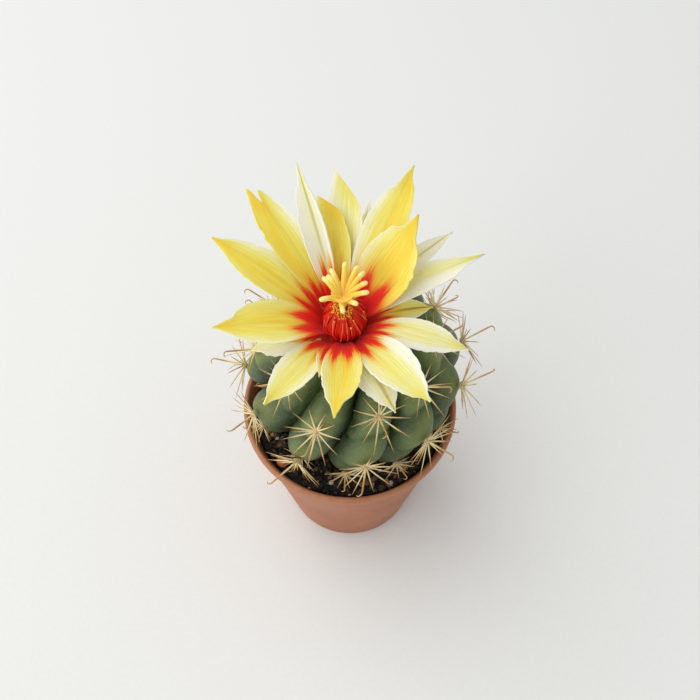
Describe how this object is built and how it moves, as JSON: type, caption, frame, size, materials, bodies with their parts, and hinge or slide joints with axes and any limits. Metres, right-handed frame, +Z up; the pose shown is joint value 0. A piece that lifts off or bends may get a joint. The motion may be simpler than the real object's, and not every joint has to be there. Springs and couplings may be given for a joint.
{
  "type": "flowering round cactus in a nursery pot",
  "caption": "Small round ribbed cactus with star-shaped spine clusters and one open yellow, red-throated flower, in a small round terracotta-coloured plastic pot.",
  "frame": {"origin": "middle of the pot's flat underside", "axes": "+Z up through the pot's centre line, -Y toward the front, the side that the flower nods to, +X to the right seen from the front"},
  "size_m": [0.0696, 0.0667, 0.1092],
  "materials": {
    "pot_plastic": "thin moulded plastic in terracotta brown, satin",
    "soil": "moist dark peat with bark, pumice and grit",
    "baked_clay": "rough unglazed orange clay granule",
    "cactus_skin": "grey-green plant skin with a thin waxy bloom",
    "areole_wool": "short cream plant wool",
    "spine": "smooth straw-coloured plant spines, browner at the hooked tips",
    "flower_tube": "green plant tissue with scales",
    "petal": "thin silky yellow petal, pale at the edge and red at the throat",
    "stamens": "fine red filaments with yellow anthers",
    "stigma": "velvety yellow stigma lobes on a pale style"
  },
  "bodies": {
    "root": {"pot": "pot_plastic", "soil": "soil", "clay_pebble": "baked_clay", "cactus_body": "cactus_skin", "crown_wool": "areole_wool", "flower_tube": "flower_tube", "stamens": "stamens", "style_and_stigma": "stigma", "petal_01": "petal", "petal_02": "petal", "petal_03": "petal", "petal_04": "petal", "petal_05": "petal", "petal_06": "petal", "petal_07": "petal", "petal_08": "petal", "petal_09": "petal", "petal_10": "petal", "petal_11": "petal", "petal_12": "petal", "petal_13": "petal", "petal_14": "petal", "petal_15": "petal", "petal_16": "petal", "petal_17": "petal", "petal_18": "petal", "petal_19": "petal", "spines_low_01": "spine", "spines_low_02": "spine", "spines_low_03": "spine", "spines_low_04": "spine", "spines_low_05": "spine", "spines_low_06": "spine", "spines_low_07": "spine", "spines_low_08": "spine", "spines_low_09": "spine", "spines_low_10": "spine", "spines_low_11": "spine", "spines_middle_01": "spine", "spines_middle_02": "spine", "spines_middle_03": "spine", "spines_middle_04": "spine", "spines_middle_05": "spine", "spines_middle_06": "spine", "spines_middle_07": "spine", "spines_middle_08": "spine", "spines_middle_09": "spine", "spines_middle_10": "spine", "spines_middle_11": "spine", "spines_high_01": "spine", "spines_high_02": "spine", "spines_high_03": "spine", "spines_high_04": "spine", "spines_high_05": "spine", "spines_high_06": "spine", "spines_high_07": "spine", "spines_high_08": "spine", "spines_high_09": "spine", "spines_high_10": "spine", "spines_high_11": "spine"}
  },
  "joints": []
}
